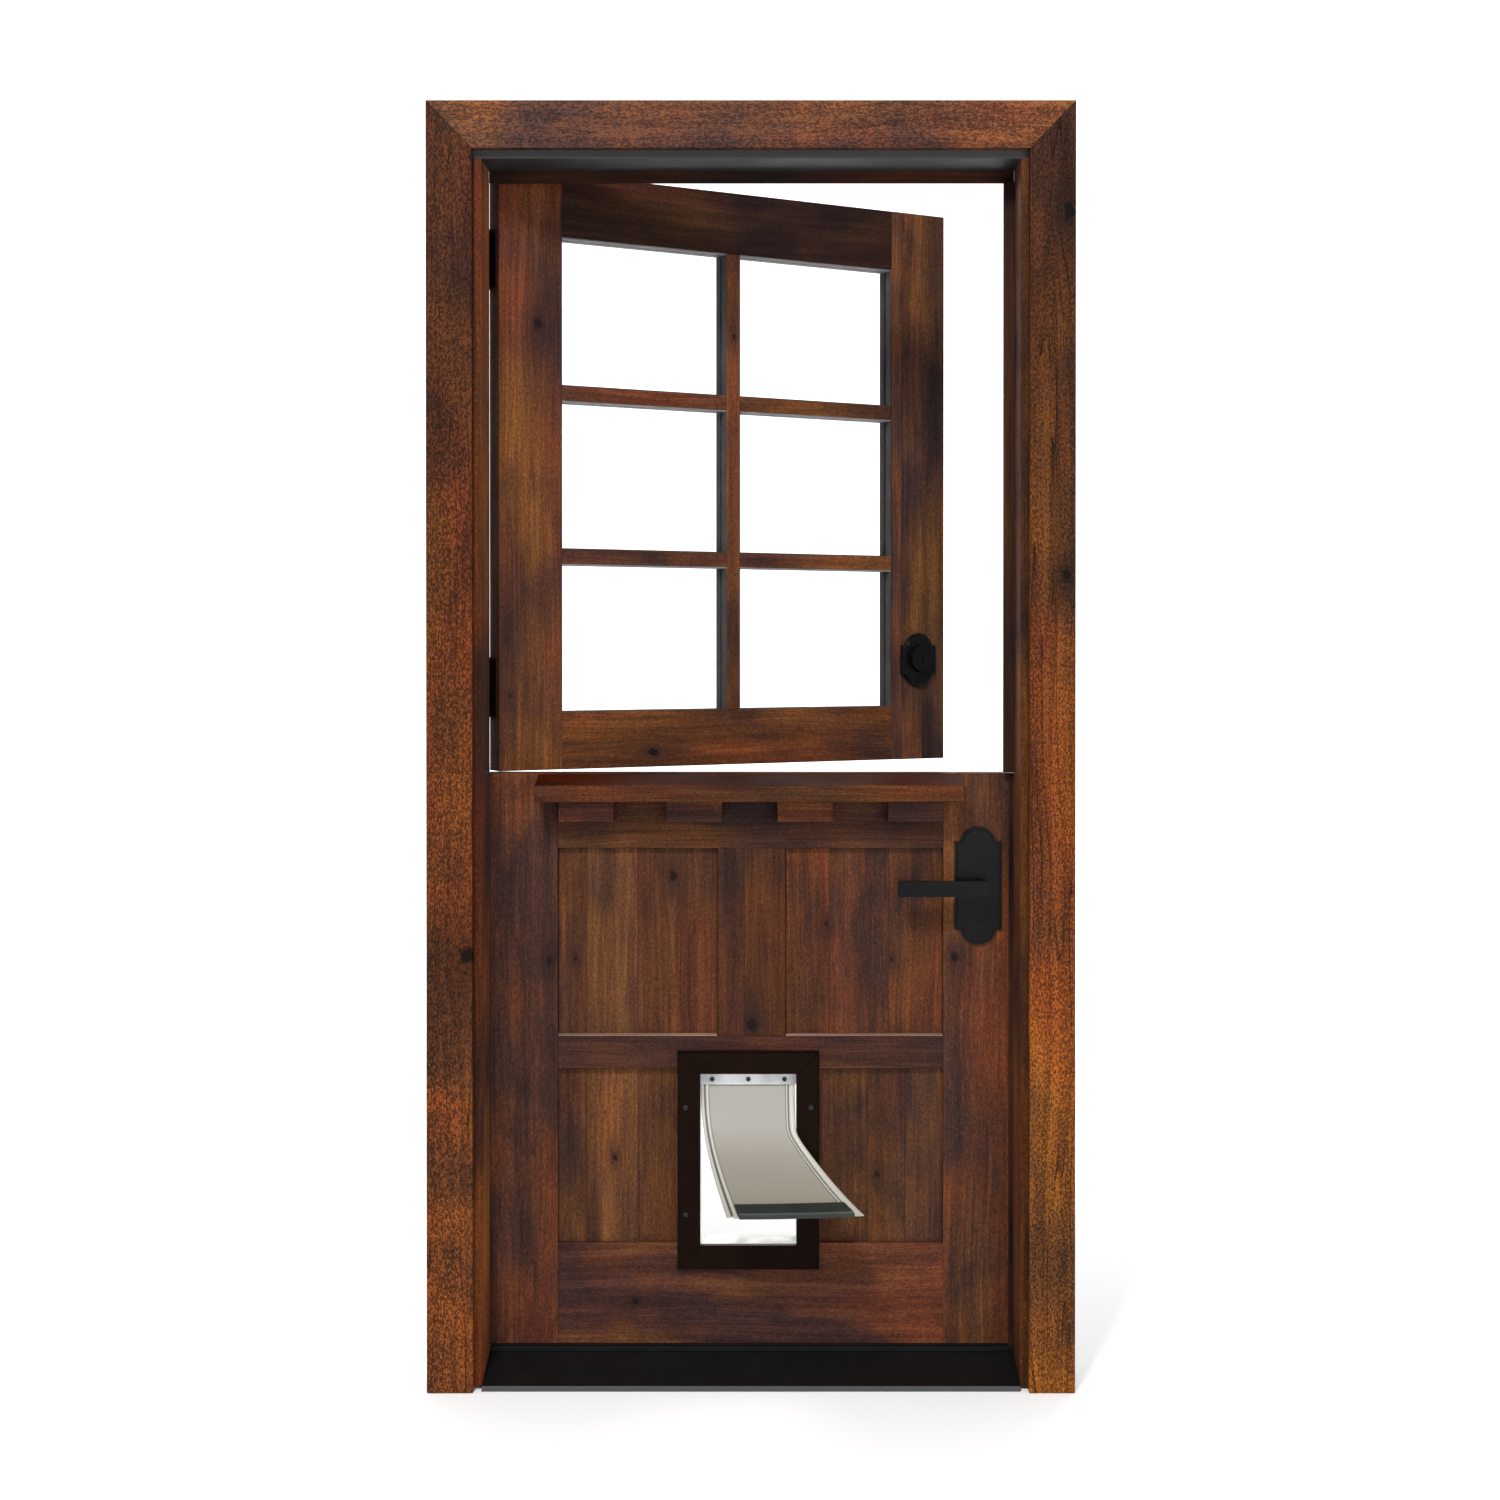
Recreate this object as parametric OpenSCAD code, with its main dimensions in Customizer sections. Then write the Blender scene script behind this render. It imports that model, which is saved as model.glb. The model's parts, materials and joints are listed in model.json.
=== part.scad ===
// Dutch stable door in its frame: two leaves hung one above the other, the
// upper one glazed, the lower one panelled with a shelf and a pet door.
// x runs left to right seen from outside, y runs from outside to the room,
// z is up from the floor. Shown with the upper leaf ajar and the flap pushed out.

/* [Opening] */
// Width of one leaf
leaf_w = 914.4; // [860:1:1000]
// Thickness of one leaf
leaf_t = 44.5; // [40:0.5:50]
// Gap between a leaf and the rabbet
side_gap = 3.2; // [2.8:0.1:4]
// How far the upper leaf stands open, degrees
upper_open = 29.4; // [0:0.1:60]

/* [Heights] */
// Underside of the lower leaf
leaf_z0 = 43; // [42.5:0.5:50]
// Top of the lower leaf
meet_z = 1021; // [1010:1:1040]
// Gap between the leaves
meet_gap = 2; // [2:0.5:5]
// Top of the upper leaf
leaf_z1 = 2059; // [2040:1:2100]

/* [Frame] */
// Depth of the jamb in front of its rabbet
stop_d = 100; // [80:1:120]
// Depth of the rabbet step
rabbet = 12.7; // [10:0.1:16]
// Jamb thickness behind the rabbet
jamb_t = 19; // [17:0.5:25]
// Space left for the weatherstrip
seal_gap = 5; // [4:0.5:8]
// How far the weatherstrip stands in at the head
strip_head = 20; // [5:0.5:24]
// How far it stands in beside the upper leaf's lock
strip_side = 19; // [5:0.5:24]
// Width of a casing board
casing_w = 76.2; // [60:0.1:100]
// Thickness of a casing board
casing_t = 20; // [16:1:25]
// Width of the head casing
head_w = 78.6; // [60:0.1:100]
// Jamb edge left showing inside the casing
reveal = 13.2; // [8:0.1:18]

/* [Leaf joinery] */
// Hinge stile of the lower leaf
stile_h = 125.6; // [110:0.1:135]
// Lock stile of the lower leaf
stile_k = 129; // [115:0.1:140]
// Centre stile width
stile_c = 116; // [90:1:130]
// Stiles of the upper leaf
stile_u = 117.5; // [105:0.5:130]
// Top rail of the upper leaf
rail_ut = 110; // [90:1:130]
// Bottom rail of the upper leaf
rail_ub = 100; // [90:1:130]
// Glazing bar width
bar_w = 26; // [20:1:34]
// How far the panels sit behind the leaf face
recess = 10; // [6:0.5:13]

/* [Hardware] */
// Spindle distance from the lock edge
lever_back = 70; // [68:1:75]
// Deadbolt distance from the lock edge
bolt_back = 60; // [56:1:66]
// Hinge height
hinge_h = 100; // [88:1:110]
// Hinge knuckle radius
knuckle_r = 6; // [5.5:0.1:6.2]
// Hinge pin radius
pin_r = 3; // [2.5:0.1:3.5]

/* [Pet door] */
// Pet door frame width
pet_w = 242; // [230:1:250]
// Pet door frame height
pet_h = 374; // [360:1:380]
// Clear opening width
pet_ow = 164; // [150:1:170]
// Clear opening height
pet_oh = 293; // [285:1:300]
// Flap width
flap_w = 159; // [140:1:160]

/* [Hidden] */
$fn = 48;
e = 0.01;
hw = leaf_w / 2;
rx = hw + side_gap;
sx = rx - rabbet;
jx = rx + jamb_t;
ly = stop_d + seal_gap;
iy = ly + leaf_t;
sz = leaf_z1 - 12;
rz = leaf_z1 + side_gap;
jz = rz + jamb_t;
ci = sx + reveal;
cz = sz + reveal;
co = ci + casing_w;
ct = cz + head_w;
lap = 2;
px = -(hw + side_gap / 2);
py = iy + knuckle_r + 0.5;
uz0 = meet_z + meet_gap;
lx0 = -hw + stile_h;
lx1 = hw - stile_k;
ux0 = -hw + stile_u;
ux1 = hw - stile_u;
lt_z = 892;
lm_z1 = 570.5;
lm_z0 = 514.2;
lb_z = 215.8;
ug0 = uz0 + rail_ub;
ug1 = leaf_z1 - rail_ut;
row = (ug1 - ug0 - 2 * bar_w) / 3;
pane_y = ly + leaf_t / 2 - 3;
pcx = -5.5;
pcz = 358.8;
tun = 4;
px0 = pcx - pet_ow / 2;
px1 = pcx + pet_ow / 2;
pz0 = pcz - pet_oh / 2 + 2;
pz1 = pcz + pet_oh / 2 + 2;
flap_y = ly + 12;
flap_z = pz1 - 23.5;
fa0 = 15;
fa1 = 66;
flap_len = 262;
fr = flap_len / ((fa1 - fa0) * PI / 180);
lever_x = hw - lever_back;
lever_z = 828;
plate_z = 828.6;
bolt_x = hw - bolt_back;
bolt_z = 1211;
midy = ly + leaf_t / 2;
hz_u = [1165, 1905];
hz_l = [225, 870];
wood = [0.36, 0.19, 0.12];
wood_leaf = [0.30, 0.17, 0.12];
black = [0.05, 0.05, 0.055];

// Which piece to draw

module box(x0, x1, y0, y1, z0, z1) {
  translate([x0, y0, z0]) cube([x1 - x0, y1 - y0, z1 - z0]);
}
// A bore or pin lying along x
module xrod(x0, x1, y, z, r) {
  translate([x0, y, z]) rotate([0, 90, 0]) cylinder(r = r, h = x1 - x0);
}
// A bore or pin lying along y
module yrod(x, y0, y1, z, r) {
  translate([x, y0, z]) rotate([-90, 0, 0]) cylinder(r = r, h = y1 - y0);
}
// An outline drawn in x and z, given thickness along y
module slab(y0, y1) {
  translate([0, y1, 0]) rotate([90, 0, 0]) linear_extrude(y1 - y0) children();
}
// Swings the upper leaf's pieces on the hinge pins
module ajar() {
  translate([px, py, 0]) rotate([0, 0, upper_open]) translate([-px, -py, 0]) children();
}

// ---- frame ----
// The casings' backs are cut away over the jambs, so that they lie flat on the wall
module jamb_seat() box(-jx, jx, -lap, 1, -1, jz);
module casing_side(s) difference() {
  slab(-casing_t, 0) polygon([[s * ci, 0], [s * co, 0], [s * co, ct], [s * ci, cz]]);
  jamb_seat();
}
module casing_left() color(wood) casing_side(-1);
module casing_right() color(wood) casing_side(1);
module casing_head() color(wood) difference() {
  slab(-casing_t, 0) polygon([[-ci, cz], [ci, cz], [co, ct], [-co, ct]]);
  jamb_seat();
}

// The head runs across the tops of both jambs in front of the rabbet
module jamb_side(s) difference() {
  translate([0, 0, 5]) linear_extrude(jz - 5)
    polygon([[s * sx, 0], [s * ci, 0], [s * ci, -lap], [s * jx, -lap], [s * jx, iy], [s * rx, iy],
      [s * rx, stop_d], [s * sx, stop_d]]);
  box(-jx - 1, jx + 1, -lap - 1, stop_d, sz, jz + 1);
}
module screw_bores(s) {
  for (z = [350, 1050, 1750]) xrod(s > 0 ? rx - 1 : -jx - 1, s > 0 ? jx + 1 : -rx + 1, 130, z, 2.5);
}
module jamb_hinge() color(wood) difference() {
  jamb_side(-1);
  screw_bores(-1);
}
module jamb_strike() color(wood) difference() {
  jamb_side(1);
  screw_bores(1);
  box(rx - 1, rx + 13.6, midy - 12, iy + 1, lever_z - 14, lever_z + 14);
  xrod(rx - 1, jx + 1, midy, bolt_z, 11);
}
module jamb_head() color(wood) union() {
  box(-jx, jx, 0, stop_d, sz, jz);
  box(-jx, jx, -lap, 0, cz, jz);
  for (s = [-1, 1]) box(s > 0 ? ci : -jx, s > 0 ? jx : -ci, -lap, 0, sz, cz);
  box(-rx, rx, stop_d, iy, rz, jz);
}
module sill() color(black) union() {
  translate([-sx, 0, 0]) rotate([90, 0, 90]) linear_extrude(2 * sx)
    polygon([[-12, 0], [-12, 9], [-6, 9], [94, 32], [stop_d, 32], [stop_d, 0]]);
  box(-rx, rx, stop_d, iy, 0, 32);
}
module sill_cap() color([0.03, 0.03, 0.03]) box(-sx, sx, stop_d - 3, iy, 32, 39.5);

module seal(x0, x1, z0, z1) color([0.09, 0.06, 0.05]) box(x0, x1, stop_d, ly - 0.4, z0, z1);
module seal_left() seal(-rx, -sx, 40, sz - strip_head);
// Beside the lock it has a bead that stands in front of the lock's plate
module seal_right_upper() union() {
  seal(sx - 11, rx, uz0, sz - strip_head);
  color([0.09, 0.06, 0.05]) box(sx - 11, sx, 87, stop_d, uz0, sz - strip_head);
  color([0.09, 0.06, 0.05]) box(sx - strip_side, sx, 87, 95, uz0, sz - strip_head);
}
module seal_right_lower() seal(sx - 8, rx, 40, meet_z);
module seal_head() seal(-sx, sx, sz - strip_head, sz + 12);

module strike_latch() color(black) difference() {
  box(rx - 1.2, rx, midy - 17, iy, lever_z - 34, lever_z + 34);
  box(rx - 2, rx + 1, midy - 12, iy + 1, lever_z - 14, lever_z + 14);
}
module strike_bolt() color(black) difference() {
  box(rx - 1.2, rx, midy - 17, midy + 17, bolt_z - 30, bolt_z + 30);
  xrod(rx - 2, rx + 1, midy, bolt_z, 11);
}

// ---- hinges ----
// The plate on the jamb with knuckles 1, 3 and 5
module hinge_fixed(zc) {
  k = hinge_h / 5;
  z0 = zc - hinge_h / 2;
  color(black) difference() {
    union() {
      box(-rx, -rx + 1.4, iy - 34, iy, z0, z0 + hinge_h);
      for (i = [0, 2, 4]) {
        box(-rx, -rx + 1.4, iy - e, py, z0 + i * k + 0.2, z0 + (i + 1) * k - 0.2);
        translate([px, py, z0 + i * k + 0.2]) cylinder(r = knuckle_r, h = k - 0.4);
      }
    }
    translate([px, py, z0 - 1]) cylinder(r = pin_r + 0.05, h = hinge_h + 2);
  }
}
// The plate on the leaf with knuckles 2 and 4
module hinge_moving(zc) {
  k = hinge_h / 5;
  z0 = zc - hinge_h / 2;
  color(black) difference() {
    union() {
      box(-hw - 1.4, -hw, iy - 34, iy, z0, z0 + hinge_h);
      for (i = [1, 3]) {
        box(-hw - 1.4, -hw, iy - e, py, z0 + i * k + 0.2, z0 + (i + 1) * k - 0.2);
        translate([px, py, z0 + i * k + 0.2]) cylinder(r = knuckle_r, h = k - 0.4);
      }
    }
    translate([px, py, z0 - 1]) cylinder(r = pin_r + 0.05, h = hinge_h + 2);
  }
}
module hinge_pin(zc) {
  color([0.08, 0.08, 0.08]) translate([px, py, zc - hinge_h / 2 - 2]) union() {
    translate([0, 0, -1]) cylinder(r = pin_r, h = hinge_h + 3);
    translate([0, 0, hinge_h + 2]) cylinder(r = knuckle_r - 0.8, h = 4);
    translate([0, 0, -3]) cylinder(r = knuckle_r - 1.5, h = 4.8);
  }
}
module hinge_jamb_upper() for (z = hz_u) hinge_fixed(z);
module hinge_jamb_lower() for (z = hz_l) hinge_fixed(z);
module hinge_leaf_upper() ajar() for (z = hz_u) hinge_moving(z);
module hinge_leaf_lower() for (z = hz_l) hinge_moving(z);
module hinge_pins() for (z = concat(hz_u, hz_l)) hinge_pin(z);

// ---- upper leaf ----
// A hinge stile's inner back edge is bevelled so that it clears the jamb
module hinge_stile(x1, z0, z1) translate([0, 0, z0]) linear_extrude(z1 - z0)
  polygon([[-hw, ly], [x1, ly], [x1, iy], [-hw + 2, iy], [-hw, iy - 2]]);
module upper_stile_hinge() color(wood_leaf) ajar() hinge_stile(ux0, uz0, leaf_z1);
module upper_stile_lock() color(wood_leaf) ajar() difference() {
  box(ux1, hw, ly, iy, uz0, leaf_z1);
  yrod(bolt_x, ly - 1, iy + 1, bolt_z, 27);
  xrod(bolt_x, hw + 1, midy, bolt_z, 9.3);
  box(hw - 1.5, hw + 1, midy - 12.7, midy + 12.7, bolt_z - 28.5, bolt_z + 28.5);
}
module upper_rail_top() color(wood_leaf) ajar() box(ux0, ux1, ly, iy, ug1, leaf_z1);
module upper_rail_bottom() color(wood_leaf) ajar() box(ux0, ux1, ly, iy, uz0, ug0);
module glazing_bar_upright() color(wood_leaf) ajar() box(-bar_w / 2, bar_w / 2, ly + 2, iy - 2, ug0, ug1);
module glazing_bars_across() color(wood_leaf) ajar()
  for (i = [1, 2], s = [0, 1])
    box(s == 0 ? ux0 : bar_w / 2, s == 0 ? -bar_w / 2 : ux1, ly + 2, iy - 2,
        ug0 + i * row + (i - 1) * bar_w, ug0 + i * (row + bar_w));
module glass_panes() color([0.85, 0.92, 0.95, 0.35]) ajar()
  for (i = [0, 1, 2], s = [0, 1])
    box(s == 0 ? ux0 : bar_w / 2, s == 0 ? -bar_w / 2 : ux1, pane_y, pane_y + 6,
        ug0 + i * (row + bar_w) + 0.05, ug0 + i * (row + bar_w) + row - 0.05);

// Escutcheon outline: straight sides with a narrower arch at each end
module escutcheon(w, h, hs, r) {
  union() {
    square([w, hs], center = true);
    for (s = [-1, 1]) translate([0, s * (h / 2 - r)]) circle(r = r);
  }
}
module bolt_plate_out() color(black) ajar() difference() {
  union() {
    slab(ly - 6, ly) translate([bolt_x, bolt_z]) escutcheon(78, 102, 57, 32);
    slab(ly - 9, ly - 5) translate([bolt_x, bolt_z]) escutcheon(70, 94, 51, 28);
  }
  yrod(bolt_x, ly - 12, ly + 1, bolt_z + 3, 24);
}
module bolt_cylinder() color(black) ajar() difference() {
  union() {
    yrod(bolt_x, ly - 20, ly, bolt_z + 3, 24);
    yrod(bolt_x, ly - e, midy - 12, bolt_z, 20);
  }
  box(bolt_x - 1.2, bolt_x + 1.2, ly - 21, ly - 16, bolt_z - 2, bolt_z + 8);
}
module bolt_plate_in() color(black) ajar() difference() {
  slab(iy, iy + 7) translate([bolt_x, bolt_z]) escutcheon(78, 102, 57, 32);
  yrod(bolt_x, iy - 1, iy + 8, bolt_z, 9);
}
module bolt_faceplate() color(black) ajar() difference() {
  box(hw - 1.5, hw, midy - 12.7, midy + 12.7, bolt_z - 28.5, bolt_z + 28.5);
  xrod(hw - 3, hw + 1, midy, bolt_z, 9.06);
}
module thumb_turn() color(black) ajar() union() {
  yrod(bolt_x, midy + 10, iy + 10, bolt_z, 8.5);
  yrod(bolt_x, iy + 8, iy + 15, bolt_z, 13);
  box(bolt_x - 22, bolt_x + 22, iy + 14, iy + 26, bolt_z - 4, bolt_z + 4);
}
module dead_bolt() color([0.3, 0.3, 0.3]) ajar() xrod(bolt_x - 2, hw, midy, bolt_z, 9);

// ---- lower leaf ----
module tunnel_cut() {
  box(px0 - tun - 0.3, px1 + tun + 0.3, ly - 1, iy + 1, pz0 - tun - 0.3, pz1 + tun + 0.3);
}
module pet_screw_bores(r) {
  for (sx1 = [-1, 1], sz1 = [-1, 1]) yrod(pcx + sx1 * 107, ly - 20, iy + 20, pcz + sz1 * 91.5, r);
}
module lower_stile_hinge() color(wood_leaf) hinge_stile(lx0, leaf_z0, meet_z);
module lower_stile_lock() color(wood_leaf) difference() {
  box(lx1, hw, ly, iy, leaf_z0, meet_z);
  yrod(lever_x, ly - 1, iy + 1, lever_z, 24);
  box(lever_x, hw + 1, midy - 9.5, midy + 9.5, lever_z - 11.5, lever_z + 11.5);
  box(hw - 1.5, hw + 1, midy - 12.7, midy + 12.7, lever_z - 28.5, lever_z + 28.5);
}
module lower_rail_top() color(wood_leaf) box(lx0, lx1, ly, iy, lt_z, meet_z);
module lower_rail_middle() color(wood_leaf) box(lx0, lx1, ly, iy, lm_z0, lm_z1);
module lower_rail_bottom() color(wood_leaf) difference() {
  box(lx0, lx1, ly, iy, leaf_z0, lb_z);
  tunnel_cut();
}
module lower_stile_centre() color(wood_leaf)
  box(-stile_c / 2, stile_c / 2, ly, iy, lm_z1, lt_z);
module panel_upper_left() color(wood_leaf)
  box(lx0, -stile_c / 2, ly + recess, iy - recess, lm_z1, lt_z);
module panel_upper_right() color(wood_leaf)
  box(stile_c / 2, lx1, ly + recess, iy - recess, lm_z1, lt_z);
module panel_lower() color(wood_leaf) difference() {
  box(lx0, lx1, ly + recess, iy - recess, lb_z, lm_z0);
  tunnel_cut();
  pet_screw_bores(2.6);
}
// Sloping shelf with a square nose
module shelf() color(wood_leaf)
  translate([-364, 0, 0]) rotate([90, 0, 90]) linear_extrude(722)
    polygon([[ly, meet_z - 2], [ly - 72, 1004], [ly - 72, 976], [ly, 976]]);
module shelf_blocks() color(wood_leaf)
  for (x = [-280, -97, 91, 278]) box(x - 47, x + 47, ly - 40, ly, 940, 976);
module door_sweep() color([0.04, 0.04, 0.04]) box(-hw + 2, hw - 2, ly + 2, iy - 2, 40, leaf_z0);

module lever_plate_out() color(black) difference() {
  union() {
    slab(ly - 5, ly) translate([lever_x, plate_z]) escutcheon(80, 201, 151, 31);
    slab(ly - 8, ly - 4) translate([lever_x, plate_z]) escutcheon(71, 192, 145, 26.5);
  }
  yrod(lever_x, ly - 10, ly + 1, lever_z, 12);
}
module lever_plate_in() color(black) difference() {
  slab(iy, iy + 7) translate([lever_x, plate_z]) escutcheon(80, 201, 151, 31);
  yrod(lever_x, iy - 1, iy + 8, lever_z, 12);
}
module latch_faceplate() color(black) difference() {
  box(hw - 1.5, hw, midy - 12.7, midy + 12.7, lever_z - 28.5, lever_z + 28.5);
  box(hw - 3, hw + 1, midy - 8.5, midy + 8.5, lever_z - 10.5, lever_z + 10.5);
}
// Both handles on one spindle
module lever_assembly() color(black) union() {
  yrod(lever_x, ly - 46, iy + 46, lever_z, 6);
  yrod(lever_x, ly - 42, ly - 0.5, lever_z, 11.5);
  yrod(lever_x, iy + 0.5, iy + 42, lever_z, 11.5);
  box(lever_x - 139, lever_x + 16, ly - 58, ly - 42, lever_z - 13.2, lever_z + 13.2);
  box(lever_x - 139, lever_x + 16, iy + 42, iy + 58, lever_z - 13.2, lever_z + 13.2);
}
// Sprung latch, bevelled on the side that meets the strike
module latch_bolt() color([0.3, 0.3, 0.3]) translate([0, 0, lever_z - 10]) linear_extrude(20)
  polygon([[hw - 50, midy - 8], [hw + 1, midy - 8], [hw + 11, midy + 8], [hw - 50, midy + 8]]);

// ---- pet door ----
module pet_frame(y0, y1) difference() {
  box(pcx - pet_w / 2, pcx + pet_w / 2, y0, y1, pcz - pet_h / 2, pcz + pet_h / 2);
  box(px0, px1, y0 - 1, y1 + 1, pz0, pz1);
}
module pet_frame_out() color([0.13, 0.085, 0.065]) difference() {
  union() {
    pet_frame(ly - 6, ly);
    difference() {
      box(pcx - pet_w / 2 + 3, pcx + pet_w / 2 - 3, ly - 12, ly - 5, pcz - pet_h / 2 + 3, pcz + pet_h / 2 - 3);
      box(px0, px1, ly - 13, ly, pz0, pz1);
    }
  }
  pet_screw_bores(2.6);
}
module pet_frame_in() color([0.13, 0.085, 0.065]) difference() {
  pet_frame(iy, iy + 10);
  pet_screw_bores(2.6);
}
module pet_tunnel() color([0.6, 0.6, 0.55]) difference() {
  box(px0 - tun, px1 + tun, ly, iy, pz0 - tun, pz1 + tun);
  box(px0, px1, ly - 1, iy + 1, pz0, pz1);
}
module pet_screws() color([0.12, 0.12, 0.12])
  for (sx1 = [-1, 1], sz1 = [-1, 1]) translate([pcx + sx1 * 107, 0, pcz + sz1 * 91.5]) union() {
    yrod(0, ly - 14, iy + 8, 0, 2.5);
    yrod(0, ly - 14.5, ly - 12, 0, 5);
  }
module flap_clamp() color([0.75, 0.76, 0.77]) box(px0, px1, flap_y - 5, flap_y + 5, pz1 - 21.5, pz1);
module clamp_screws() color([0.25, 0.25, 0.25])
  for (x = [-62, 0, 62]) yrod(pcx + x, flap_y - 7, flap_y - 5, pz1 - 12, 4);
// Flexible flap, bowed outwards from the bead along its top edge
module flap() color([0.72, 0.71, 0.66]) union() {
  xrod(pcx - flap_w / 2, pcx + flap_w / 2, flap_y, flap_z, 1.7);
  translate([pcx - flap_w / 2, flap_y, flap_z]) rotate([90, 0, 90])
    linear_extrude(flap_w) flap_section();
}
module flap_section() polygon(concat(
    [for (i = [0:12]) let (a = fa0 + (fa1 - fa0) * i / 12)
      [-(fr + 1.5) * (cos(fa0) - cos(a)) + 1.5 * cos(fa0), -(fr + 1.5) * (sin(a) - sin(fa0)) - 1.5 * sin(fa0)]],
    [for (i = [12:-1:0]) let (a = fa0 + (fa1 - fa0) * i / 12)
      [-(fr - 1.5) * (cos(fa0) - cos(a)) - 1.5 * cos(fa0), -(fr - 1.5) * (sin(a) - sin(fa0)) + 1.5 * sin(fa0)]]));
module flap_magnet() color([0.19, 0.2, 0.19])
  translate([0, flap_y - fr * (cos(fa0) - cos(fa1)), flap_z - fr * (sin(fa1) - sin(fa0))])
    rotate([-fa1, 0, 0]) box(pcx - 68, pcx + 68, -4, 4, -12, 3);

casing_left();
casing_right();
casing_head();
jamb_hinge();
jamb_strike();
jamb_head();
sill();
sill_cap();
seal_left();
seal_right_upper();
seal_right_lower();
seal_head();
strike_latch();
strike_bolt();
hinge_jamb_upper();
hinge_jamb_lower();
hinge_leaf_upper();
hinge_leaf_lower();
hinge_pins();
upper_stile_hinge();
upper_stile_lock();
upper_rail_top();
upper_rail_bottom();
glazing_bar_upright();
glazing_bars_across();
glass_panes();
bolt_plate_out();
bolt_cylinder();
bolt_plate_in();
bolt_faceplate();
thumb_turn();
dead_bolt();
lower_stile_hinge();
lower_stile_lock();
lower_stile_centre();
lower_rail_top();
lower_rail_middle();
lower_rail_bottom();
panel_upper_left();
panel_upper_right();
panel_lower();
shelf();
shelf_blocks();
door_sweep();
lever_plate_out();
lever_plate_in();
latch_faceplate();
lever_assembly();
latch_bolt();
pet_frame_out();
pet_frame_in();
pet_tunnel();
pet_screws();
flap_clamp();
clamp_screws();
flap();
flap_magnet();
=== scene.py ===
import math, json, random
import bpy, bmesh
from mathutils import Vector, Matrix


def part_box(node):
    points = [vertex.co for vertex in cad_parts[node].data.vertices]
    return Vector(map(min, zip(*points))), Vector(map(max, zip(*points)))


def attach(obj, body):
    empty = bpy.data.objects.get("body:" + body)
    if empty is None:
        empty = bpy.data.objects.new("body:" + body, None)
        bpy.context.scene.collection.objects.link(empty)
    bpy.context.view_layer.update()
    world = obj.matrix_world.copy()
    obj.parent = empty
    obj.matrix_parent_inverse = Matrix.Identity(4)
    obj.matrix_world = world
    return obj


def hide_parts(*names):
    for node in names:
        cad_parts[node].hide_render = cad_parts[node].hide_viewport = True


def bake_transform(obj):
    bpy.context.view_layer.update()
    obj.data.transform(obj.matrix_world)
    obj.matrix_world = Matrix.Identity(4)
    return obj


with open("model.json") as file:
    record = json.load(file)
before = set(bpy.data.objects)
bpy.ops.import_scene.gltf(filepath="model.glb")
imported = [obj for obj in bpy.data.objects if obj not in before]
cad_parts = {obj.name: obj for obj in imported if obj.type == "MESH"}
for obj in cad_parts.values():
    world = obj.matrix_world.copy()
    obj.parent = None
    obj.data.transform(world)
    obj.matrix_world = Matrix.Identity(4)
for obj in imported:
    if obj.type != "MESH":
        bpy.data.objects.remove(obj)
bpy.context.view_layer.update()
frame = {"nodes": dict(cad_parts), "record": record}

OPEN = math.radians(29.4)


def clean(tree):
    for n in list(tree.nodes):
        tree.nodes.remove(n)


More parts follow.
